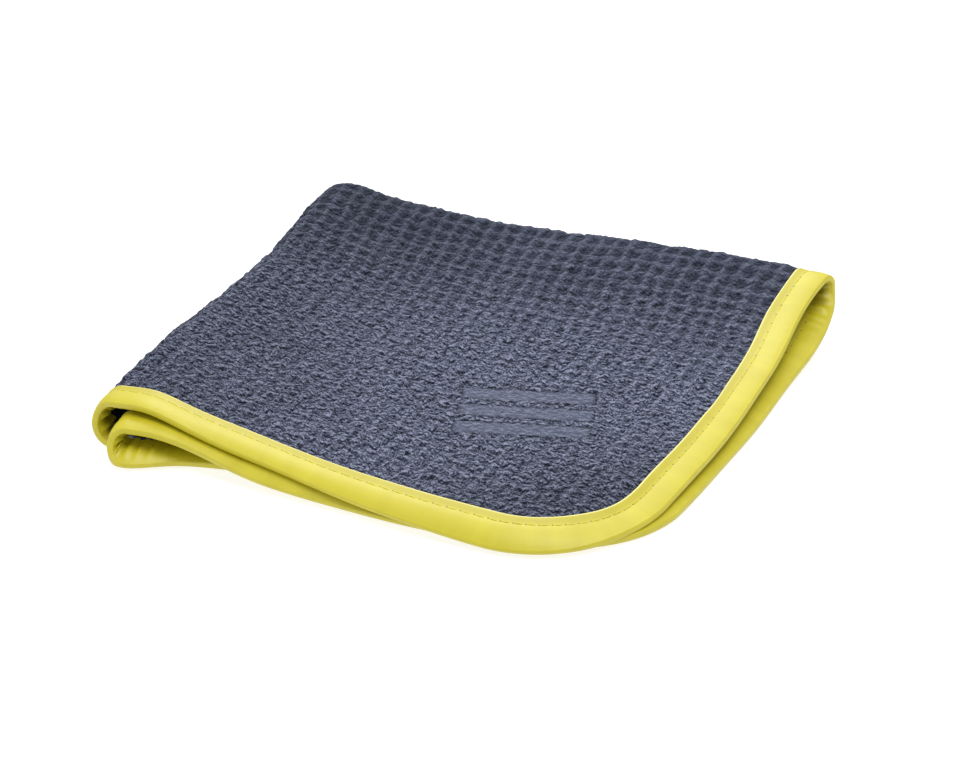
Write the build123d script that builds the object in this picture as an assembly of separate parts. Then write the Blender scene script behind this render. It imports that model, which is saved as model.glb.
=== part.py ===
"""Waffle-weave microfibre detailing cloth with a bound edge, folded in quarters.

The square cloth is folded twice. Fold one runs along the back (+Y) and lays the
cloth double. Fold two runs along the left side (-X) and lays it fourfold, so
that the two halves nest round one left-hand axis. The bound edges lie free at
the right (+X) and at the front (-Y), with all four corners of the cloth
stacked at the front right.

Layers are numbered from the top: 1 and 2 are joined by the upper back fold, 3
and 4 by the lower one. At the left, the outer loop joins 1 to 4 and the inner
loop joins 2 to 3. Everything is drawn for the upper pair of layers, turned
round the left-hand axis, and mirrored for the lower pair.

Frame: millimetres, +Z up, origin at the middle of the folded cloth's underside.
"""
import os
from math import acos, atan2, cos, hypot, pi, sin

from build123d import *

# ---- driving dimensions, mm ------------------------------------------------
FOLDED_WIDTH = 204.0        # left-hand loop to right-hand edge, along X
FOLDED_DEPTH = 200.0        # front edge of layer 1 to the back fold, along Y
STACK_HEIGHT = 27.0         # underside to top at the folds
CLOTH_THICK = 3.6           # lofty waffle pile, lying loose
EDGE_THICK = 1.6            # pile pressed flat inside the binding
TAPE_WIDTH = 11.0           # binding tape seen from either face
TAPE_WALL = (CLOTH_THICK - EDGE_THICK) / 2
TAPE_FOLD = 1.2             # from the tape's outer fold to the cloth's cut edge
CORNER_R = 44.0             # outer radius of the cloth's rounded corners
LAYER_GAP = 0.8             # air between layers 1 and 2 near the front edge
FOLD_R = 3.6                # centreline radius of the two back folds
FOLD_OPENS = 46.0           # how far in front of the back fold layer 2 starts to dip
INNER_STEP = 5.0            # the inner loop stands this far in front of the outer one
LOWER_INSET = 10.0          # the lower pair's right edge lies this far inside
SEAM_INSET = 7.5            # stitch line to the tape's outer fold
THREAD = 0.5                # width of the sewing thread
THREAD_SINK = 0.5           # depth of the groove that the stitches pull in the tape

# Three plain stripes pressed into the top face, with no lettering
MARK_CENTRE = (35.0, -22.0)
MARK_TURN = 20.0            # degrees, anticlockwise from above
MARK_LENGTH = 44.0
MARK_STRIPE = 8.0           # width of one stripe
MARK_PITCH = 12.5           # from stripe to stripe
MARK_DEPTH = 0.6

# ---- derived ---------------------------------------------------------------
HALF = CLOTH_THICK / 2
AXIS_Z = STACK_HEIGHT / 2                       # height of the left-hand axis
AXIS_X = -FOLDED_WIDTH / 2 + AXIS_Z             # the outer loop is a true half circle
RIGHT_X = FOLDED_WIDTH / 2
BACK_Y = (FOLDED_DEPTH + INNER_STEP) / 2
FRONT_Y = (BACK_Y - FOLDED_DEPTH, BACK_Y - FOLDED_DEPTH - INNER_STEP)   # layers 1, 2
LEVEL = (AXIS_Z - HALF, AXIS_Z - HALF - CLOTH_THICK - LAYER_GAP)        # above the axis

# The back fold: layer 1 runs straight into an arc, which a sloping stretch of
# layer 2 meets at a tangent
FOLD_CENTRE = (BACK_Y - HALF - FOLD_R, LEVEL[0] - FOLD_R)
KINK = (BACK_Y - FOLD_OPENS, LEVEL[1])


def tangent_angle():
    """Angle, about the fold's centre, at which the sloping stretch touches the arc."""
    away_y = KINK[0] - FOLD_CENTRE[0]
    away_z = KINK[1] - FOLD_CENTRE[1]
    return atan2(away_z, away_y) % (2 * pi) + acos(FOLD_R / hypot(away_y, away_z))


TOUCH = tangent_angle()


def on_arc(angle, normal):
    """A point of the back fold's arc, `normal` outside the centreline."""
    reach = FOLD_R + normal
    return (FOLD_CENTRE[0] + reach * cos(angle), FOLD_CENTRE[1] + reach * sin(angle))


def kink_point(normal):
    """Where the offset sloping stretch meets the offset level stretch of layer 2."""
    start = on_arc(TOUCH, normal)
    slope = (KINK[1] - on_arc(TOUCH, 0)[1]) / (KINK[0] - on_arc(TOUCH, 0)[0])
    level = LEVEL[1] - normal
    return (start[0] + (level - start[1]) / slope, level)


def place(point, x):
    """A (y, height above the axis) pair as a point in the plane at x."""
    return Vector(x, point[0], AXIS_Z + point[1])


def hairpin(starts, low, high, x0, x1):
    """Both layers and their back fold, from each layer's start to the fold.

    starts: the y at which layers 1 and 2 begin. low, high: the two offsets from
    the centreline, positive on the cloth's outer face.
    """
    middle = (TOUCH - 2 * pi + pi / 2) / 2

    def side(normal):
        return [
            Line(place((starts[0], LEVEL[0] + normal), x0), place(on_arc(pi / 2, normal), x0)),
            ThreePointArc(
                place(on_arc(pi / 2, normal), x0),
                place(on_arc(middle, normal), x0),
                place(on_arc(TOUCH, normal), x0),
            ),
            Line(place(on_arc(TOUCH, normal), x0), place(kink_point(normal), x0)),
            Line(place(kink_point(normal), x0), place((starts[1], LEVEL[1] - normal), x0)),
        ]

    ends = [
        Line(
            place((starts[0], LEVEL[0] + low), x0),
            place((starts[0], LEVEL[0] + high), x0),
        ),
        Line(
            place((starts[1], LEVEL[1] - low), x0),
            place((starts[1], LEVEL[1] - high), x0),
        ),
    ]
    face = make_face(side(low) + side(high) + ends)
    return extrude(face, amount=x1 - x0, dir=(1, 0, 0))


def height_range(layer, low, high):
    """The two heights above the axis of an offset band of layer 0 (top) or 1."""
    sign = 1 if layer == 0 else -1
    return sorted((LEVEL[layer] + sign * low, LEVEL[layer] + sign * high))


def block(x0, x1, y0, y1, h0, h1):
    """A box between two corners, with heights counted from the axis."""
    centre = ((x0 + x1) / 2, (y0 + y1) / 2, AXIS_Z + (h0 + h1) / 2)
    return Pos(*centre) * Box(x1 - x0, y1 - y0, h1 - h0)


def corner_ring(layer, right, near, far, h0, h1):
    """The quarter ring of a rounded corner, near..far inside the cloth's outline."""
    centre = (right - CORNER_R, FRONT_Y[layer] + CORNER_R, AXIS_Z + (h0 + h1) / 2)
    outer = CORNER_R - near
    ring = Cylinder(outer, h1 - h0) - Cylinder(CORNER_R - far, 2 * (h1 - h0))
    quarter = Pos(outer, -outer, 0) * Box(2 * outer, 2 * outer, 2 * (h1 - h0))
    return Pos(*centre) * (ring & quarter)


def upper_run(right, near, far, low, high):
    """One pair's bound edge: front, rounded corner, right-hand edge and back fold."""
    starts = tuple(y + CORNER_R for y in FRONT_Y)
    run = hairpin(starts, low, high, right - far, right - near)
    for layer in (0, 1):
        h0, h1 = height_range(layer, low, high)
        front = FRONT_Y[layer]
        run += block(AXIS_X, right - CORNER_R, front + near, front + far, h0, h1)
        run += corner_ring(layer, right, near, far, h0, h1)
    return run


def left_turn(y0, y1, h0, h1):
    """A half ring round the left-hand axis."""
    centre = (AXIS_X, (y0 + y1) / 2, AXIS_Z)
    tube = Cylinder(h1, y1 - y0) - Cylinder(h0, 2 * (y1 - y0))
    left_half = Pos(-h1, 0, 0) * Box(2 * h1, 2 * h1, 2 * (y1 - y0))
    return Pos(*centre) * Rot(90, 0, 0) * (tube & left_half)


def lower(shape):
    """The same shape on the other side of the left-hand axis."""
    return mirror(shape, about=Plane((0, 0, AXIS_Z), z_dir=(0, 0, 1)))


def edge_band(near, far, low, high):
    """A band that follows the cloth's whole bound edge through all four layers."""
    band = upper_run(RIGHT_X, near, far, low, high)
    band += lower(upper_run(RIGHT_X - LOWER_INSET, near, far, low, high))
    for layer in (0, 1):
        h0, h1 = height_range(layer, low, high)
        band += left_turn(FRONT_Y[layer] + near, FRONT_Y[layer] + far, h0, h1)
    return band


def pair_panel(right):
    """The full-thickness pile of one pair of layers, inside the binding."""
    starts = tuple(y + TAPE_WIDTH for y in FRONT_Y)
    panel = hairpin(starts, -HALF, HALF, AXIS_X, right - TAPE_WIDTH)
    for layer in (0, 1):
        h0, h1 = height_range(layer, -HALF, HALF)
        inner = CORNER_R - TAPE_WIDTH
        middle = (right - CORNER_R, FRONT_Y[layer] + CORNER_R, AXIS_Z + (h0 + h1) / 2)
        square = Pos(inner / 2, -inner / 2, 0) * Box(inner, inner, h1 - h0)
        panel -= Pos(*middle) * (square - Cylinder(inner, 2 * (h1 - h0)))
    return panel


def panel_turn():
    """The back fold's section, turned through the left-hand loops."""
    starts = tuple(y + TAPE_WIDTH for y in FRONT_Y)
    slab = hairpin(starts, -HALF, HALF, AXIS_X, AXIS_X + 1)
    section = slab.faces().sort_by(Axis.X)[0]
    axis = Axis((AXIS_X, 0, AXIS_Z), (0, 1, 0))
    return revolve(section, axis, revolution_arc=-180)


def pressed_stripes():
    """Three straight stripes, to be sunk into the top face."""
    level = Pos(*MARK_CENTRE, STACK_HEIGHT) * Rot(0, 0, MARK_TURN)
    stripe = Box(MARK_LENGTH, MARK_STRIPE, 2 * MARK_DEPTH)
    return Compound(children=[level * Pos(0, row * MARK_PITCH, 0) * stripe for row in (-1, 0, 1)])


def cloth():
    """The waffle-weave panel: full pile inside the binding, a pressed edge within it."""
    panel = pair_panel(RIGHT_X) + lower(pair_panel(RIGHT_X - LOWER_INSET)) + panel_turn()
    panel += edge_band(TAPE_FOLD, TAPE_WIDTH, -EDGE_THICK / 2, EDGE_THICK / 2)
    return panel - pressed_stripes()


def seam(face):
    """The thread on one face of the cloth: +1 the outer face, -1 the inner one."""
    outer = face * HALF
    sunk = face * (HALF - THREAD_SINK)
    return edge_band(SEAM_INSET, SEAM_INSET + THREAD, min(outer, sunk), max(outer, sunk))


def binding_tape(threads):
    """The folded tape round the whole edge, open to the cloth, grooved for the seam."""
    tape = edge_band(0, TAPE_WIDTH, -HALF, HALF)
    tape -= edge_band(TAPE_FOLD, TAPE_WIDTH, -EDGE_THICK / 2, EDGE_THICK / 2)
    for thread in threads:
        tape -= thread
    return tape


def main():
    os.makedirs("parts", exist_ok=True)
    needle_thread = seam(1)
    bobbin_thread = seam(-1)
    parts = {
        "waffle_cloth": cloth(),
        "binding_tape": binding_tape((needle_thread, bobbin_thread)),
        "needle_thread": needle_thread,
        "bobbin_thread": bobbin_thread,
    }
    for name, shape in parts.items():
        export_step(shape, os.path.join("parts", name + ".step"))
        print(name, len(shape.solids()), round(shape.volume, 1))


main()
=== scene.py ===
"""The look of a waffle-weave detailing cloth, folded in quarters, with a bound edge.

One flat square is carried through two folds by fold(): fold one lies along the
back, fold two along the left. The panel, the binding tape and both rows of
stitches are all laid on that one folded surface, so they bend together.

Flat places (s, t) are in millimetres from the cloth's centre. Layer 1, on top,
is s > 0 and t < 0; layer 2 is s > 0, t > 0; layer 3 is s < 0, t > 0; layer 4,
at the bottom, is s < 0, t < 0.
"""

import bpy
import numpy as np
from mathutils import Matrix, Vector


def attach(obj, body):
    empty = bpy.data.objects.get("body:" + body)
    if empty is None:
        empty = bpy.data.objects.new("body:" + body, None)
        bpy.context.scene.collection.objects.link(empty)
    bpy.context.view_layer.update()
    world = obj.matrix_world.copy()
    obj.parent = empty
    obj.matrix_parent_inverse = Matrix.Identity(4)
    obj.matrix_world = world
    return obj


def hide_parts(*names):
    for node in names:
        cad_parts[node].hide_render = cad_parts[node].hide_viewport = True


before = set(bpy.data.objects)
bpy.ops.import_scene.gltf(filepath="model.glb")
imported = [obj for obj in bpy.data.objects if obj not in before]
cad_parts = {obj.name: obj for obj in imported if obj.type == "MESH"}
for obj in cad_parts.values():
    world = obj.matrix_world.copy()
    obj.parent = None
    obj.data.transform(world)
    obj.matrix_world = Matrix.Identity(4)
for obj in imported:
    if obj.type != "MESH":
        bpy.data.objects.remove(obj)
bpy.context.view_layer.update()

MM = 0.001
HALF = 200.0            # half the flat cloth's side
CORNER = 44.0           # radius of its rounded corners
CELL = 5.95             # pitch of the waffle weave
TAPE = 11.2             # width of the binding seen from one face
SEAM = 7.8              # stitch line to the cloth's edge
STITCH = 5.0            # stitch pitch
MARK_PLACE = (136.0, -126.0)    # middle of the pressed mark on the flat cloth
MARK_TURN = 0.34                # radians
MARK_LENGTH = 44.0
MARK_STRIPE = 8.0               # width of one of its three stripes
MARK_PITCH = 12.5               # from stripe to stripe
FLAT_HEIGHTS = (9.85, 7.15, 4.5, 1.8)   # mid-surfaces of layers 1 to 4 away from folds and edges
PANEL_HALF = 0.75       # half the panel's thickness, without its pile
TAPE_STEP = 0.95        # mesh spacing along the tape
STITCH_STEP = 0.5       # spacing of the edge places that the stitches are set out from
THREAD_RADIUS = 0.16
HOLE_RADIUS = 0.32      # of the dark dots of painted shade at the needle holes
CREASE_PITCH = 4.6      # of the gathers inside the tape's folds
CREASE_HEIGHT = 3.0
CREASE_REACH = 16.0     # they fade out over about this distance from a fold
SHADE_TOP = 2.0         # the top of the scale on which colour ramps give their stops

# Camera and studio, in metres, with the lens in mm. The camera's numbers come from
# a least-squares fit of the weave's perspective in the photograph.
CAMERA_PLACE = (0.4274, -0.8023, 0.4099)
CAMERA_TARGET = (-0.0016, 0.0125, 0.0)
CAMERA_LENS = 113.1
FLOOR_REACH = 3.0
SOFTBOXES = (           # name, place, size, power in watts
    ("back_softbox", (-0.42, 0.78, 1.0), 0.7, 9.0),
    ("top_softbox", (0.3, -0.15, 1.0), 0.7, 8.5),
    ("left_fill", (-0.9, -0.6, 0.4), 0.8, 2.6),
)
rng = np.random.default_rng(7)


# ---- the folded surface -----------------------------------------------------

def smooth_curve(*points):
    """A natural cubic through a few (place, value) points; straight past its ends."""
    xs, ys = (np.array(values, float) for values in zip(*points))
    gap = np.diff(xs)
    slope = np.diff(ys) / gap
    count = len(xs)
    matrix = np.eye(count)
    known = np.zeros(count)
    for i in range(1, count - 1):
        matrix[i, i - 1:i + 2] = gap[i - 1], 2 * (gap[i - 1] + gap[i]), gap[i]
        known[i] = 6 * (slope[i] - slope[i - 1])
    bend = np.linalg.solve(matrix, known)

    def value(x):
        k = np.clip(np.searchsorted(xs, x) - 1, 0, count - 2)
        near = np.clip(x, xs[0], xs[-1])
        left, right, w = near - xs[k], xs[k + 1] - near, gap[k]
        y = (bend[k] * right ** 3 + bend[k + 1] * left ** 3) / (6 * w)
        y = y + (ys[k] / w - bend[k] * w / 6) * right + (ys[k + 1] / w - bend[k + 1] * w / 6) * left
        first = slope[0] - gap[0] * bend[1] / 6
        last = slope[-1] + gap[-1] * bend[-2] / 6
        return y + (x - near) * np.where(x < xs[0], first, last)

    return value


def ease(x):
    """0 to 1, smoothly, as x goes from 0 to 1."""
    x = np.clip(x, 0, 1)
    return x * x * (3 - 2 * x)


# Plan outlines in mm. Points of what is seen were chosen near places read
# off the photograph through the fitted camera; those of what is hidden are
# guessed. Columns run 0 (left fold) to 200 (right edge); rows run
# 0 (back fold) to 200 (front edge). Layers 1 to 4 are counted from the top.
FOLD_LEFT = {
    "outer": smooth_curve((0, -112), (30, -108.5), (60, -103.5), (120, -97), (165, -92.5),
                          (185, -89.5), (200, -86.5)),
    "inner": smooth_curve((0, -103), (60, -97), (120, -90), (170, -81), (200, -74.5)),
}
FOLD_BACK = {
    "upper": smooth_curve((0, 101), (50, 101), (100, 102), (160, 104.5), (200, 106)),
    "lower": smooth_curve((0, 99), (100, 102), (200, 105)),
}
EDGE_RIGHT = [
    smooth_curve((0, 88.5), (25, 86.7), (50, 89.8), (75, 92.6), (110, 96.2), (150, 97.6), (200, 97.5)),
    smooth_curve((0, 89), (15, 92), (50, 93.5), (85, 96.5), (120, 98.5), (155, 100), (200, 99)),
    smooth_curve((0, 82), (60, 80), (200, 79)),
    smooth_curve((0, 81), (60, 78), (200, 77)),
]
EDGE_FRONT = [
    smooth_curve((0, -88), (30, -88.5), (55, -88.5), (75, -90), (110, -95), (140, -96.5), (200, -97)),
    smooth_curve((0, -97.5), (14, -94), (30, -91.5), (60, -92.5), (90, -93.5), (120, -94),
                 (150, -92.5), (200, -91)),
    smooth_curve((0, -99), (12, -99.5), (26, -92), (40, -88), (70, -86), (110, -80), (200, -77)),
    smooth_curve((0, -90), (30, -84), (100, -77), (200, -75)),
]

# Heights of the mid-surfaces. RIGHT runs along the right edge, by row. FRONT runs
# along the front edge, by column, and RAISED just behind it, where the stacked
# tapes lift the cloth before it droops over them.
RIGHT = [
    smooth_curve((0, 24.5), (13, 21.6), (28, 16.8), (50, 12.2), (72, 9.8), (100, 8),
                 (145, 6.3), (170, 4.4), (200, 2.2)),
    smooth_curve((0, 14.5), (8, 12), (20, 8.5), (40, 4.6), (60, 2.8), (85, 2.1), (200, 2.0)),
    smooth_curve((0, 8), (40, 4.8), (200, 4.8)),
]
FRONT = [
    smooth_curve((0, 15.5), (14, 16.5), (24, 17), (36, 14.8), (50, 11.2), (72, 8.2), (100, 6),
                 (125, 4.2), (150, 2.4), (200, 2)),
    smooth_curve((0, 12), (10, 11.8), (21, 10.8), (30, 9), (40, 6.8), (50, 4.8), (70, 2.8),
                 (100, 2.0), (200, 2.0)),
    smooth_curve((0, 2.2), (12, 1.9), (28, 1.9), (45, 2.6), (75, 4.6), (200, 4.8)),
]
RAISED = [
    smooth_curve((0, 16.5), (14, 17.6), (24, 18.3), (36, 16.2), (56, 13), (76, 10.8),
                 (110, 9.8), (150, 8.8), (200, 9.6)),
    smooth_curve((0, 13.2), (13, 13.4), (25, 11.8), (40, 9.4), (66, 7.6), (200, 7.2)),
]


def inset(s, t):
    """Distance inward from the rounded outline of the flat cloth."""
    x = np.abs(s) - (HALF - CORNER)
    y = np.abs(t) - (HALF - CORNER)
    outside = np.hypot(np.maximum(x, 0), np.maximum(y, 0))
    return CORNER - outside - np.minimum(np.maximum(x, y), 0)


def heights(a, b):
    """Heights of layers 1 to 4 at a mm from the left fold and b mm from the back one."""
    left = np.exp(-(a / 37) ** 1.6)
    loop = np.exp(-(a / 28) ** 2)
    wide = 33 + 5 * np.exp(-(a / 60) ** 2) + 3 * ease((a - 100) / 80)
    back = np.exp(-(b / wide) ** 1.6)
    near = ease((b - 135) / 45)
    flat1, flat2, flat3, flat4 = FLAT_HEIGHTS
    z4 = flat4 + 0 * a
    z3 = flat3 + 1.5 * loop + 4.0 * back
    z2 = flat2 + 6.5 * loop + 6.0 * back - 2.5 * loop * back ** 2
    z1 = flat1 + 10.8 * left + (12.2 + 3.8 * ease((a - 72) / 88)) * back - 4.5 * left * back ** 2
    z2 = z2 + near * (RAISED[1](a) - z2)
    z1 = z1 + near * (RAISED[0](a) - z1)
    edge = inset(a, b)
    at_front = ease((210 - a) / (420 - a - b) * 2 - 0.5)
    droop = at_front * np.clip(1 - edge / 35, 0, 1.2) ** 5 + (1 - at_front) * ease(1 - edge / 19)
    z1, z2, z3 = (
        z + droop * (at_front * FRONT[k](a) + (1 - at_front) * RIGHT[k](b) - z)
        for k, z in enumerate((z1, z2, z3))
    )
    return z1, z2, z3, z4


def along(distance, radius, span):
    """How far in plan a point lies from a fold, after a flat distance from it."""
    length = (span + (np.pi / 2 - 1) * radius) * distance / HALF
    turning = radius * (1 - np.cos(np.minimum(length / radius, np.pi / 2)))
    return np.where(length < np.pi / 2 * radius, turning, length - (np.pi / 2 - 1) * radius)


def fold(s, t):
    """Where flat places (s, t) lie in the folded cloth: an array of x, y, z in mm."""
    a, b = np.abs(s), np.abs(t)
    z1, z2, z3, z4 = heights(a, b)
    top1, top2, top3, top4 = heights(a, 0 * b)
    side1, side2, side3, side4 = heights(0 * a, b)
    back_radius = np.where(s > 0, (top1 - top2) / 2, (top3 - top4) / 2)
    outer = -np.sign(t) * np.sin(np.minimum(b / back_radius, np.pi / 2))
    mid, half = (side1 - side4 + side2 - side3) / 4, (side1 - side4 - side2 + side3) / 4
    left_radius = mid + outer * half
    upper = np.sign(s) * np.sin(np.minimum(a / left_radius, np.pi / 2))

    def blend(one, two, three, four):
        high = (one + two) / 2 + outer * (one - two) / 2
        low = (three + four) / 2 + outer * (four - three) / 2
        return (high + low) / 2 + upper * (high - low) / 2

    out_x, in_x = FOLD_LEFT["outer"](b), FOLD_LEFT["inner"](b)
    up_y, low_y = FOLD_BACK["upper"](a), FOLD_BACK["lower"](a)
    fold_x = (out_x + in_x) / 2 + outer * (out_x - in_x) / 2
    fold_y = (up_y + low_y) / 2 + upper * (up_y - low_y) / 2
    edge_x = blend(*(edge(b) for edge in EDGE_RIGHT))
    edge_y = blend(*(edge(a) for edge in EDGE_FRONT))
    x = fold_x + along(a, left_radius, edge_x - fold_x)
    y = fold_y - along(b, back_radius, fold_y - edge_y)
    return np.stack([x, y, blend(z1, z2, z3, z4)], -1)


def surface(s, t):
    """Folded places and the outward normals of the cloth's upper face."""
    step = 0.4
    across = fold(s + step, t) - fold(s - step, t)
    down = fold(s, t + step) - fold(s, t - step)
    normal = np.cross(across, down)
    normal /= np.linalg.norm(normal, axis=-1, keepdims=True)
    return fold(s, t), normal


# ---- smooth seeded noise ----------------------------------------------------

def wander(size, seed):
    """A smooth random function of the flat place, about -1 to 1, `size` mm across."""
    source = np.random.default_rng(seed)
    grid = source.uniform(-1, 1, (64, 64))

    def value(s, t):
        x, y = s / size + 32.3, t / size + 32.7
        i, j = np.floor(x).astype(int), np.floor(y).astype(int)
        u, v = ease(x - i), ease(y - j)

        def pick(di, dj):
            return grid[(i + di) % 64, (j + dj) % 64]

        low = pick(0, 0) * (1 - u) + pick(1, 0) * u
        high = pick(0, 1) * (1 - u) + pick(1, 1) * u
        return low * (1 - v) + high * v

    return value


# ---- meshes -----------------------------------------------------------------

def make_object(name, points, faces, flat_places, pressed=None):
    """A smooth mesh from points in mm, with each point's flat place kept on it."""
    mesh = bpy.data.meshes.new(name)
    points = np.stack([points[:, 0], points[:, 1], np.maximum(points[:, 2], 0)], -1)
    mesh.from_pydata((points * MM).tolist(), [], faces)
    kept = mesh.attributes.new("flat_place", "FLOAT_VECTOR", "POINT")
    kept.data.foreach_set("vector", np.asarray(flat_places, np.float32).ravel())
    if pressed is not None:
        kept = mesh.attributes.new("pressed", "FLOAT", "POINT")
        kept.data.foreach_set("value", np.asarray(pressed, np.float32))
    mesh.polygons.foreach_set("use_smooth", [True] * len(mesh.polygons))
    mesh.update()
    piece = bpy.data.objects.new(name, mesh)
    bpy.context.scene.collection.objects.link(piece)
    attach(piece, "root")
    return piece


def waffle(s, t):
    """Relief of the weave, 0 in the pits and 1 on the ridges."""
    across = np.abs(np.sin(np.pi * (s + 0.7 * wander(8, 21)(s, t) + 0.6 * wander(2.6, 23)(s, t)) / CELL))
    along_it = np.abs(np.sin(np.pi * (t + 0.7 * wander(8, 22)(s, t) + 0.6 * wander(2.6, 24)(s, t)) / CELL))
    return 1 - ease(1.3 * across * along_it)


def inside_mark(s, t):
    """Distance inside the heat-pressed mark: three plain stripes."""
    cos, sin = np.cos(MARK_TURN), np.sin(MARK_TURN)
    u = (s - MARK_PLACE[0]) * cos + (t - MARK_PLACE[1]) * sin
    v = (t - MARK_PLACE[1]) * cos - (s - MARK_PLACE[0]) * sin
    middle = MARK_PITCH * np.clip(np.round(v / MARK_PITCH), -1, 1)
    inside = np.minimum(MARK_LENGTH / 2 - np.abs(u), MARK_STRIPE / 2 - np.abs(v - middle))
    return np.maximum(inside, -9.0)


def build_cloth():
    """The panel: a fine upper face with the weave in relief, and a coarser lower one."""
    fine = CELL / 7
    reach = HALF - 4
    near = np.arange(-round(24 / fine), round(reach / fine) + 1) * fine
    hidden = near[0] - np.arange(1, 1 + round((reach + near[0]) / (1.5 * fine))) * 1.5 * fine
    s_lines = np.concatenate([hidden[::-1], near])
    front = -np.arange(-round(18 / fine), round(reach / fine) + 1)[::-1] * fine
    inner = front[-1] + np.arange(1, 1 + round((reach - front[-1]) / 4.0)) * 4.0
    t_lines = np.concatenate([front, inner])
    s_lines = s_lines[: len(s_lines) - (len(s_lines) - 1) % 3]
    t_lines = t_lines[(len(t_lines) - 1) % 3:]
    s, t = np.meshgrid(s_lines, t_lines, indexing="ij")
    place, normal = surface(s, t)
    away = inset(s, t)
    loft = ease((away - TAPE + 1.5) / 6)
    relief = waffle(s, t)
    mark = inside_mark(s, t)
    pressed = ease((mark + 0.5) / 0.9)
    tufts = 0.7 * wander(1.7, 11)(s, t) + 0.8 * rng.uniform(-1, 1, s.shape)
    lively = 0.6 + 0.3 * wander(9, 12)(s, t) + 0.35 * np.exp(-(t / 50) ** 2)
    pile = -0.25 + 1.1 * relief * lively + 0.33 * tufts
    face = PANEL_HALF + loft * (pile + pressed * (0.1 + 0.06 * tufts - pile))
    upper = place + normal * face[..., None]
    coarse = (slice(None, None, 3), slice(None, None, 3))
    lower = place[coarse] - normal[coarse] * (PANEL_HALF + 0.6 * loft[coarse])[..., None]
    rows, cols = s.shape
    kept = away[coarse] > 5.0
    cells = kept[:-1, :-1] & kept[1:, :-1] & kept[:-1, 1:] & kept[1:, 1:]
    low_cols = lower.shape[1]
    base = rows * cols

    def top(i, j):
        return i * cols + j

    def low(i, j):
        return base + i * low_cols + j

    faces = []
    for i, j in np.argwhere(cells):
        p, q = 3 * i, 3 * j
        for di in range(3):
            for dj in range(3):
                m, n = p + di, q + dj
                faces.append((top(m, n), top(m + 1, n), top(m + 1, n + 1), top(m, n + 1)))
        faces.append((low(i, j), low(i, j + 1), low(i + 1, j + 1), low(i + 1, j)))
        if i == 0 or not cells[i - 1, j]:
            faces.append([low(i, j), *(top(p, q + k) for k in range(4)), low(i, j + 1)])
        if i == cells.shape[0] - 1 or not cells[i + 1, j]:
            faces.append([low(i + 1, j + 1), *(top(p + 3, q + 3 - k) for k in range(4)), low(i + 1, j)])
        if j == 0 or not cells[i, j - 1]:
            faces.append([low(i + 1, j), *(top(p + 3 - k, q) for k in range(4)), low(i, j)])
        if j == cells.shape[1] - 1 or not cells[i, j + 1]:
            faces.append([low(i, j + 1), *(top(p + k, q + 3) for k in range(4)), low(i + 1, j + 1)])
    points = np.concatenate([upper.reshape(-1, 3), lower.reshape(-1, 3)])
    # the third value, the weave's relief, also sets the painted shade in the pits
    flat = np.concatenate([
        np.stack([s, t, relief], -1).reshape(-1, 3),
        np.stack([s[coarse], t[coarse], relief[coarse]], -1).reshape(-1, 3),
    ])
    used = np.zeros(len(points), bool)
    used[[index for face in faces for index in face]] = True
    renumber = np.cumsum(used) - 1
    faces = [[int(renumber[index]) for index in face] for face in faces]
    marks = np.concatenate([mark.ravel(), np.full(mark[coarse].size, -9.0)])
    return make_object("cloth_panel", points[used], faces, flat[used], marks[used])


def outline(pitch):
    """Flat places round the cloth's edge, the inward directions, and the distance run."""
    straight = HALF - CORNER
    places, inwards = [], []
    for turn in range(4):
        cos, sin = np.round(np.cos(turn * np.pi / 2)), np.round(np.sin(turn * np.pi / 2))
        side = np.linspace(-straight, straight, int(2 * straight / pitch), endpoint=False)
        angle = np.linspace(0, np.pi / 2, int(CORNER * np.pi / 2 / pitch), endpoint=False)
        x = np.concatenate([np.full_like(side, HALF), straight + CORNER * np.cos(angle)])
        y = np.concatenate([side, straight + CORNER * np.sin(angle)])
        in_x = np.concatenate([np.full_like(side, -1.0), -np.cos(angle)])
        in_y = np.concatenate([np.zeros_like(side), -np.sin(angle)])
        places.append(np.stack([cos * x - sin * y, sin * x + cos * y], -1))
        inwards.append(np.stack([cos * in_x - sin * in_y, sin * in_x + cos * in_y], -1))
    places, inwards = np.concatenate(places), np.concatenate(inwards)
    steps = np.linalg.norm(np.roll(places, -1, 0) - places, axis=1)
    run = np.concatenate([[0], np.cumsum(steps)[:-1]])
    return places, inwards, run, steps.sum()


# Half of the tape's section, from the fold in the cut edge to the inner lip:
# distance in from the edge, and height above the cloth's mid-surface
TAPE_OUTSIDE = [
    (0.0, 0.0), (0.02, 0.5), (0.15, 0.9), (0.45, 1.14), (0.75, 1.12), (1.0, 1.2), (2.2, 1.4),
    (3.8, 1.5), (5.4, 1.46), (6.6, 1.34), (7.4, 1.2), (7.8, 1.14), (8.2, 1.16), (9.0, 1.2),
    (10.0, 1.26), (10.7, 1.32), (11.0, 1.26), (11.15, 1.1), (11.2, 0.75),
]
TAPE_INSIDE = [(10.4, 0.8), (8.0, 0.8), (5.0, 0.9), (2.5, 0.85), (1.2, 0.6), (0.7, 0.0)]


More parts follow.
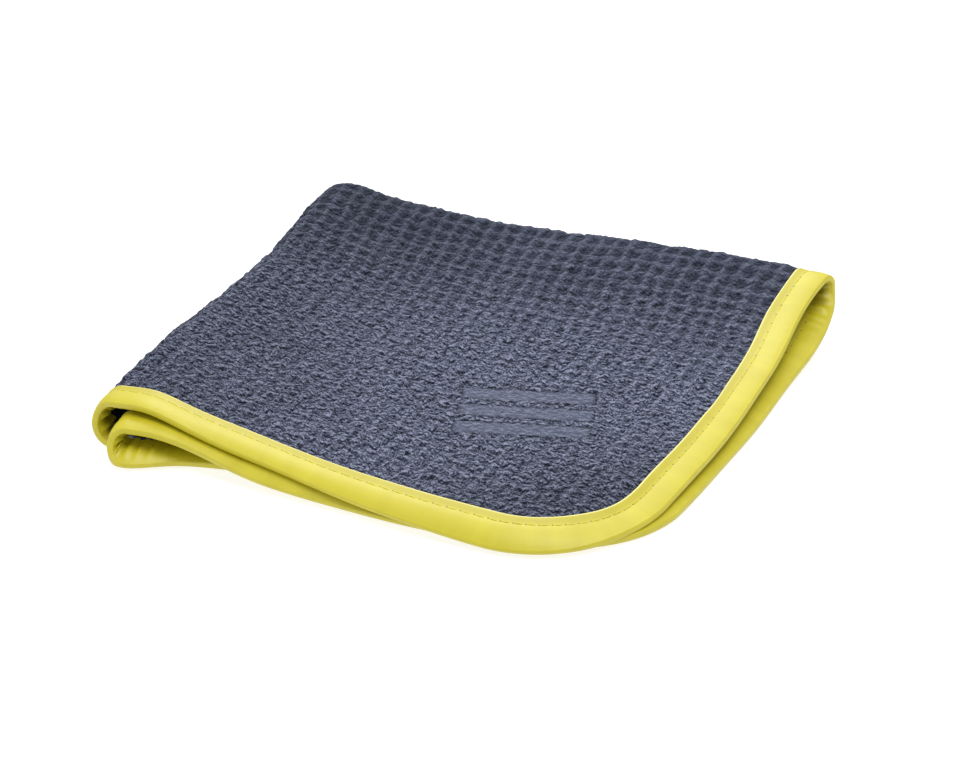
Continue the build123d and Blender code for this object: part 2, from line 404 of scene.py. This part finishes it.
def build_tape():
    """The binding: a hollow section carried round the whole edge of the cloth."""
    places, inwards, run, _ = outline(TAPE_STEP)
    section = TAPE_OUTSIDE + TAPE_INSIDE
    section += [(w, -h) for w, h in reversed(TAPE_INSIDE[:-1])]
    section += [(w, -h) for w, h in reversed(TAPE_OUTSIDE[1:])]
    width = np.array([w for w, _ in section])
    height = np.array([h for _, h in section])
    lip = wander(18, 3)(run, 0 * run) * 0.3
    puff = 1 + 0.05 * wander(23, 4)(run, 0 * run)[:, None]
    at = places[:, None] + inwards[:, None] * (width * (1 + lip[:, None] * width / 110))[..., None]
    pulled = np.cos(run * 2 * np.pi / STITCH)[:, None] * np.exp(-((width - SEAM) / 1.6) ** 2)
    side = np.where(places[:, 1] > np.abs(places[:, 0]), 1, -1)[:, None]
    to_fold = np.minimum(np.abs(places[:, 0]), np.abs(places[:, 1]))
    gathers = 1 - np.abs(np.sin(np.pi * run / CREASE_PITCH + 1.6 * wander(9, 6)(run, 0 * run))) ** 0.5
    gathers = (gathers * np.exp(-(to_fold / CREASE_REACH) ** 2))[:, None] * ease((width - 0.5) / 3)
    inner = np.sign(height) == side
    rise = height * puff * (1 + 0.03 * pulled) + CREASE_HEIGHT * gathers * side * inner
    place, normal = surface(at[..., 0], at[..., 1])
    points = place + normal * rise[..., None]
    rows, cols = rise.shape
    faces = []
    for i in range(rows):
        for j in range(cols):
            after, beside = (i + 1) % rows, (j + 1) % cols
            faces.append((i * cols + j, after * cols + j, after * cols + beside, i * cols + beside))
    # the third value is the depth in the right-hand hairpin, on its inner faces only, which the tape's
    # colour uses for painted shade
    depth = np.where(inner, np.abs(places[:, 1:2]) + 14 * ease((4 - width) / 4), 40.0)
    along_tape, across_tape = np.broadcast_to(run[:, None], rise.shape), np.broadcast_to(width, rise.shape)
    flat = np.stack([along_tape, across_tape, depth], -1)
    return make_object("edge_binding", points.reshape(-1, 3), faces, flat.reshape(-1, 3))


def build_stitches(name, face):
    """A row of lockstitches lying in the tape's groove, on one face of the cloth."""
    places, inwards, run, total = outline(STITCH_STEP)
    count = int(total / STITCH)
    pitch = total / count
    ring = np.linspace(0, 2 * np.pi, 7)[:-1]
    # along the pitch, height in the groove, share of the full radius
    shape = np.array([(-0.5, -0.35, 0.3), (-0.42, 0.02, 0.8), (-0.2, 0.16, 1.0), (0, 0.2, 1.0),
                      (0.2, 0.16, 1.0), (0.42, 0.02, 0.8), (0.5, -0.35, 0.3)])
    starts = (np.arange(count) + 0.5) * pitch
    where = starts[:, None] + shape[:, 0] * pitch * 0.86
    nearest = np.searchsorted(run, where % total) - 1
    edge, inward = places[nearest], inwards[nearest]
    ahead = np.stack([inward[..., 1], -inward[..., 0]], -1)
    edge = edge + ahead * ((where % total) - run[nearest])[..., None]
    radius = THREAD_RADIUS * shape[:, 2]
    side = (radius[:, None] * np.cos(ring))[None]
    lift = (radius[:, None] * np.sin(ring) + 1.06 + 0.4 * shape[:, 1:2])[None] * face
    at = edge[:, :, None] + inward[:, :, None] * (SEAM + side)[..., None]
    place, normal = surface(at[..., 0], at[..., 1])
    points = place + normal * np.broadcast_to(lift, place.shape[:-1])[..., None]
    faces = []
    rings, sides = len(shape), len(ring)
    for k in range(count):
        start = k * rings * sides
        for i in range(rings - 1):
            for j in range(sides):
                p, q = start + i * sides + j, start + i * sides + (j + 1) % sides
                faces.append((p, q, q + sides, p + sides))
        faces.append([start + j for j in reversed(range(sides))])
        faces.append([start + (rings - 1) * sides + j for j in range(sides)])
    if face < 0:
        faces = [corners[::-1] for corners in faces]
    flat = np.zeros((len(points.reshape(-1, 3)), 3))
    return make_object(name, points.reshape(-1, 3), faces, flat)


# ---- materials --------------------------------------------------------------

class Nodes:
    """A small helper that adds and joins shader nodes."""

    def __init__(self, name):
        self.material = bpy.data.materials.new(name)
        self.material.use_nodes = True
        self.tree = self.material.node_tree
        self.shader = self.tree.nodes["Principled BSDF"]

    def add(self, kind, inputs=(), **settings):
        node = self.tree.nodes.new("ShaderNode" + kind)
        for key, value in settings.items():
            setattr(node, key, value)
        for key, value in dict(inputs).items():
            self.set(node.inputs[key], value)
        return node

    def set(self, socket, value):
        if isinstance(value, bpy.types.NodeSocket):
            self.tree.links.new(value, socket)
        else:
            socket.default_value = value

    def math(self, operation, *values):
        node = self.add("Math", operation=operation)
        for socket, value in zip(node.inputs, values):
            self.set(socket, value)
        return node.outputs[0]

    def ramp(self, value, *stops):
        node = self.add("ValToRGB", {"Fac": self.math("DIVIDE", value, SHADE_TOP)})
        while len(node.color_ramp.elements) < len(stops):
            node.color_ramp.elements.new(0.5)
        for element, (position, color) in zip(node.color_ramp.elements, stops):
            element.position = position / SHADE_TOP
            element.color = (*color, 1)
        return node.outputs["Color"]


def cloth_material():
    """Slate-blue microfibre: matt pile in small tufts, with painted shade in the pits of the weave, on one
    side of each tuft, near the back and left folds and at the free corner.
    """
    n = Nodes("waffle_microfibre")

    def shade_falloff(value, start, end, least):
        """`least` below start, 1 beyond end: a factor of painted shade, darker below start."""
        return n.add("MapRange", {"Value": value, "From Min": start, "From Max": end, "To Min": least},
                     interpolation_type="SMOOTHSTEP").outputs[0]

    place = n.add("Attribute", attribute_name="flat_place").outputs["Vector"]
    mark = n.add("Attribute", attribute_name="pressed").outputs["Fac"]
    parts = n.add("SeparateXYZ", {"Vector": place})
    flat = n.add("CombineXYZ", {"X": parts.outputs["X"], "Y": parts.outputs["Y"]})

    def tuft_height(offset):
        moved = n.add("VectorMath", {0: flat.outputs[0], 1: offset}, operation="ADD")
        noise = n.add("TexNoise", {"Vector": moved.outputs[0], "Scale": 0.5, "Detail": 3.0,
                                   "Roughness": 0.62})
        return noise.outputs["Fac"]

    # painted shade and highlight on the tufts: each is darker on its side towards the free corner and
    # lighter on the side away from it, as if lit from behind
    tufts = tuft_height((0, 0, 0))
    painted_tuft_shading = n.math("SUBTRACT", tuft_height((0.15, -0.29, 0)), tuft_height((-0.15, 0.29, 0)))
    fibres = n.add("TexNoise", {"Vector": flat.outputs[0], "Scale": 1.6, "Detail": 1.0})
    drifts = n.add("TexNoise", {"Vector": flat.outputs[0], "Scale": 0.03, "Detail": 2.0})
    grain = n.math("ADD", fibres.outputs["Fac"], tufts)
    # the painted tuft shade and highlight are added to the grain here
    grain = n.math("MULTIPLY_ADD", painted_tuft_shading, 2.0, grain)
    to_left, to_back = n.math("ABSOLUTE", parts.outputs["X"]), n.math("ABSOLUTE", parts.outputs["Y"])
    rough = n.add("MapRange", {"Value": to_back, "From Max": 90.0, "To Min": 0.26, "To Max": 1.42})
    shade = n.math("MULTIPLY", n.math("SUBTRACT", grain, 1.0), rough.outputs[0])
    # painted shade in the pits of the weave, stronger near the back fold: the colour darkens where the
    # relief is low
    pits = n.add("MapRange", {"Value": to_back, "From Min": 10.0, "From Max": 110.0, "To Min": 0.37,
                              "To Max": 0.2})
    relief = n.math("MULTIPLY", n.math("SUBTRACT", parts.outputs["Z"], 0.6), pits.outputs[0])
    shade = n.math("ADD", n.math("ADD", shade, 1.33), relief)
    shade = n.math("MULTIPLY_ADD", drifts.outputs["Fac"], 0.12, shade)
    color = n.ramp(
        shade,
        (0.92, (0.012, 0.014, 0.026)), (1.22, (0.048, 0.056, 0.086)),
        (1.48, (0.105, 0.12, 0.175)), (1.88, (0.27, 0.29, 0.40)),
    )
    # painted shade: darker near the back fold, near the left fold and at the free corner, where the cloth
    # slopes away from the light
    painted_slope_shade = n.math("MULTIPLY", n.math("MULTIPLY", shade_falloff(to_back, 15, 85, 0.7), shade_falloff(to_left, 20, 110, 0.74)),
                 shade_falloff(n.math("SUBTRACT", 400, n.math("ADD", to_back, to_left)), 40, 120, 0.64))
    inside = n.add("MapRange", {"Value": mark, "From Min": -0.2, "From Max": 0.6, "To Max": 0.58})
    rim = n.add("MapRange", {"Value": n.math("ABSOLUTE", n.math("ADD", mark, 0.5)), "From Max": 0.6,
                             "To Min": 0.4, "To Max": 1.0})
    flattened = n.add("Mix", {"Factor": inside.outputs[0], "A": color, "B": (0.108, 0.121, 0.174, 1)},
                      data_type="RGBA")
    # the mark's darker rim and the painted slope shade scale the colour here
    rimmed_and_shaded = n.add("VectorMath", {0: flattened.outputs["Result"],
                                  "Scale": n.math("MULTIPLY", rim.outputs[0], painted_slope_shade)}, operation="SCALE")
    pile = n.math("SUBTRACT", 1.0, inside.outputs[0])
    bump = n.add("Bump", {"Height": n.math("MULTIPLY", tufts, pile), "Strength": 1.0,
                          "Distance": 0.003})
    n.set(n.shader.inputs["Base Color"], rimmed_and_shaded.outputs[0])
    n.set(n.shader.inputs["Normal"], bump.outputs["Normal"])
    n.shader.inputs["Roughness"].default_value = 0.95
    n.shader.inputs["Specular IOR Level"].default_value = 0.08
    n.shader.inputs["Sheen Weight"].default_value = 0.05
    n.shader.inputs["Sheen Roughness"].default_value = 0.5
    n.shader.inputs["Sheen Tint"].default_value = (0.75, 0.8, 1.0, 1.0)
    return n.material


def tape_material():
    """Yellow satin: a fine cross weave, glossy, with painted shade in the needle holes along the seam,
    between seam and lip and inside the hairpin, and a painted highlight along the lip.
    """
    n = Nodes("satin_tape")
    place = n.add("Attribute", attribute_name="flat_place").outputs["Vector"]
    parts = n.add("SeparateXYZ", {"Vector": place})
    run, width = parts.outputs["X"], parts.outputs["Y"]
    # painted shade: a dark dot at each needle hole, where the thread dips into the tape
    along_seam = n.math("ABSOLUTE", n.math("SUBTRACT", n.math("FRACT", n.math("DIVIDE", run, STITCH)), 0.5))
    from_hole = n.math("MULTIPLY", n.math("SUBTRACT", 0.5, along_seam), STITCH)
    across = n.math("SUBTRACT", width, SEAM)
    far = n.math("SQRT", n.math("ADD", n.math("POWER", from_hole, 2.0), n.math("POWER", across, 2.0)))
    hole_shade_mask = n.math("LESS_THAN", far, HOLE_RADIUS)
    stripes = n.add("CombineXYZ", {"X": run, "Y": n.math("MULTIPLY", width, 0.25)})
    threads = n.add("TexNoise", {"Vector": stripes.outputs[0], "Scale": 3.0, "Detail": 2.0})
    cloudy = n.add("TexNoise", {"Vector": stripes.outputs[0], "Scale": 0.12, "Detail": 2.0})
    color = n.ramp(cloudy.outputs["Fac"], (0.3, (0.49, 0.425, 0.006)), (0.7, (0.54, 0.475, 0.012)))
    # painted shade inside the right-hand hairpin: the colour darkens towards its tip
    hairpin_shade_amount = n.add("MapRange", {"Value": parts.outputs["Z"], "From Max": 14.0, "To Min": 0.7,
                                    "To Max": 0.0})
    painted_hairpin_shade = n.add("Mix", {"Factor": hairpin_shade_amount.outputs[0], "A": color, "B": (0.2, 0.155, 0.0, 1)},
                 data_type="RGBA")
    # painted highlight: a pale line along the lip, where its folded edge catches the light
    lip = n.add("MapRange", {"Value": width, "From Min": 10.5, "From Max": 10.9, "To Max": 0.7})
    # painted shade on the band between the seam and the lip
    shaded = n.add("MapRange", {"Value": width, "From Min": 7.9, "From Max": 9.0, "To Max": 0.45})
    painted_seam_shade = n.add("Mix", {"Factor": shaded.outputs[0], "A": painted_hairpin_shade.outputs["Result"],
                           "B": (0.37, 0.31, 0.003, 1)}, data_type="RGBA")
    painted_lip_highlight = n.add("Mix", {"Factor": lip.outputs[0], "A": painted_seam_shade.outputs["Result"],
                          "B": (0.9, 0.86, 0.36, 1)},
                  data_type="RGBA")
    painted_hole_shade = n.add("Mix", {"Factor": hole_shade_mask, "A": painted_lip_highlight.outputs["Result"], "B": (0.19, 0.14, 0.004, 1)},
                    data_type="RGBA")
    bump = n.add("Bump", {"Height": threads.outputs["Fac"], "Strength": 0.25, "Distance": 0.0002})
    n.set(n.shader.inputs["Base Color"], painted_hole_shade.outputs["Result"])
    n.set(n.shader.inputs["Normal"], bump.outputs["Normal"])
    n.shader.inputs["Roughness"].default_value = 0.5
    n.shader.inputs["Specular IOR Level"].default_value = 0.7
    return n.material


def thread_material():
    """Spun polyester thread, twisted, a shade deeper than the tape."""
    n = Nodes("sewing_thread")
    solid = n.add("NewGeometry").outputs["Position"]
    twist = n.add("TexNoise", {"Vector": solid, "Scale": 3500.0, "Detail": 1.0})
    color = n.ramp(twist.outputs["Fac"], (0.3, (0.49, 0.425, 0.01)), (0.7, (0.55, 0.485, 0.015)))
    bump = n.add("Bump", {"Height": twist.outputs["Fac"], "Strength": 0.5, "Distance": 0.0001})
    n.set(n.shader.inputs["Base Color"], color)
    n.set(n.shader.inputs["Normal"], bump.outputs["Normal"])
    n.shader.inputs["Roughness"].default_value = 0.6
    return n.material


def floor_material():
    """A pale floor that also glows a little, so that shadows stay faint."""
    n = Nodes("studio_floor")
    n.shader.inputs["Base Color"].default_value = (0.35, 0.35, 0.35, 1)
    n.shader.inputs["Emission Color"].default_value = (1, 1, 1, 1)
    n.shader.inputs["Emission Strength"].default_value = 0.8
    n.shader.inputs["Roughness"].default_value = 0.9
    n.shader.inputs["Specular IOR Level"].default_value = 0.1
    return n.material


# ---- studio -----------------------------------------------------------------

def build_floor():
    """A wide flat floor at z = 0."""
    mesh = bpy.data.meshes.new("floor")
    far = FLOOR_REACH
    mesh.from_pydata([(-far, -far, 0), (far, -far, 0), (far, far, 0), (-far, far, 0)], [], [(0, 1, 2, 3)])
    floor = bpy.data.objects.new("floor", mesh)
    bpy.context.scene.collection.objects.link(floor)
    mesh.materials.append(floor_material())


def build_lights():
    """A white surround and the softboxes, each turned to the cloth."""
    world = bpy.data.worlds.new("studio")
    world.use_nodes = True
    background = world.node_tree.nodes["Background"]
    background.inputs["Color"].default_value = (1.0, 1.0, 1.0, 1)
    background.inputs["Strength"].default_value = 0.5
    bpy.context.scene.world = world
    for name, place, size, power in SOFTBOXES:
        light = bpy.data.lights.new(name, "AREA")
        light.shape = "SQUARE"
        light.size = size
        light.energy = power
        lamp = bpy.data.objects.new(name, light)
        lamp.location = place
        lamp.rotation_euler = (-Vector(place)).to_track_quat("-Z", "Y").to_euler()
        bpy.context.scene.collection.objects.link(lamp)


def build_camera():
    """The photograph's viewpoint."""
    camera = bpy.data.cameras.new("camera")
    camera.sensor_width = 36.0
    camera.lens = CAMERA_LENS
    camera.clip_start = 0.01
    seat = bpy.data.objects.new("camera", camera)
    seat.location = CAMERA_PLACE
    seat.rotation_euler = (Vector(CAMERA_TARGET) - seat.location).to_track_quat("-Z", "Y").to_euler()
    bpy.context.scene.collection.objects.link(seat)
    bpy.context.scene.camera = seat


# ---- everything together ----------------------------------------------------

def main():
    """Build the pieces, hide the imported parts they stand in for, and set the studio round them."""
    scene = bpy.context.scene
    scene.view_settings.view_transform = "Standard"
    cloth = build_cloth()
    tape = build_tape()
    needle = build_stitches("needle_stitches", 1)
    bobbin = build_stitches("bobbin_stitches", -1)
    cloth.data.materials.append(cloth_material())
    tape.data.materials.append(tape_material())
    thread = thread_material()
    needle.data.materials.append(thread)
    bobbin.data.materials.append(thread)
    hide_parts("waffle_cloth")
    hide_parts("binding_tape")
    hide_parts("needle_thread")
    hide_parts("bobbin_thread")
    build_floor()
    build_lights()
    build_camera()


main()
